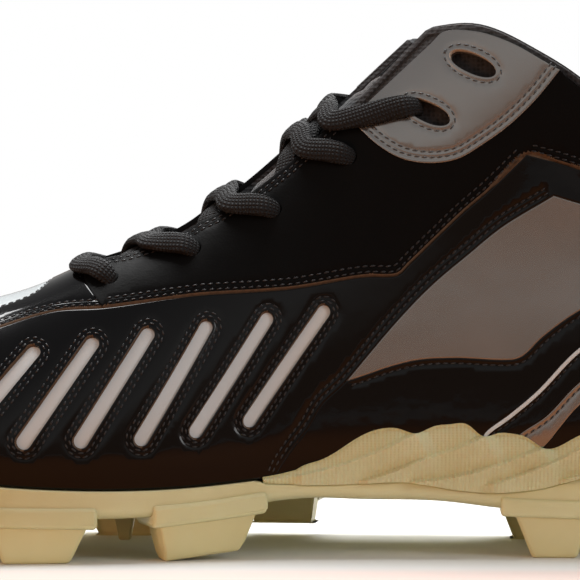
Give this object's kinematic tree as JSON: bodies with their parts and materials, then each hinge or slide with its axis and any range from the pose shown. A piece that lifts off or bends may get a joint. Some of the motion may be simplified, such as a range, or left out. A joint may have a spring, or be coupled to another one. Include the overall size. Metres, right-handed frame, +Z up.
{
  "type": "baseball cleat",
  "caption": "Mid-cut laced baseball cleat for the right foot with a hollow upper, cupped midsole and moulded studs.",
  "frame": {"origin": "centre of the shoe's plan box, on the ground under the studs", "axes": "+X from the toe to the heel, +Y from the medial to the lateral side, +Z up"},
  "size_m": [0.299, 0.1044, 0.1556],
  "materials": {
    "black_mesh": "black mesh and lining",
    "insole_cloth": "black knit over foam",
    "cream_rubber": "cream moulded, satin",
    "white_patent": "white patent, high gloss",
    "black_patent": "black patent, high gloss",
    "silver_patent": "silver-grey patent, high gloss",
    "matte_leather": "smooth matte black",
    "lace_cloth": "black woven oval lace"
  },
  "bodies": {
    "root": {"upper": "black_mesh", "tongue": "black_mesh", "insole": "insole_cloth", "midsole": "cream_rubber", "outsole": "cream_rubber", "vamp": "white_patent", "throat_strip": "black_patent", "toe_cap": "black_patent", "heel_counter": "black_patent", "heel_band": "silver_patent", "back_strap": "black_patent", "side_panel_medial": "black_patent", "eyestay_medial": "matte_leather", "eyelet_cap_medial": "silver_patent", "quarter_medial": "silver_patent", "rear_panel_medial": "black_patent", "side_panel_lateral": "black_patent", "eyestay_lateral": "matte_leather", "eyelet_cap_lateral": "silver_patent", "quarter_lateral": "silver_patent", "rear_panel_lateral": "black_patent", "lace_bar": "lace_cloth", "lace_cross_2": "lace_cloth", "lace_cross_3": "lace_cloth", "lace_cross_4": "lace_cloth", "lace_cross_5": "lace_cloth"}
  },
  "joints": []
}
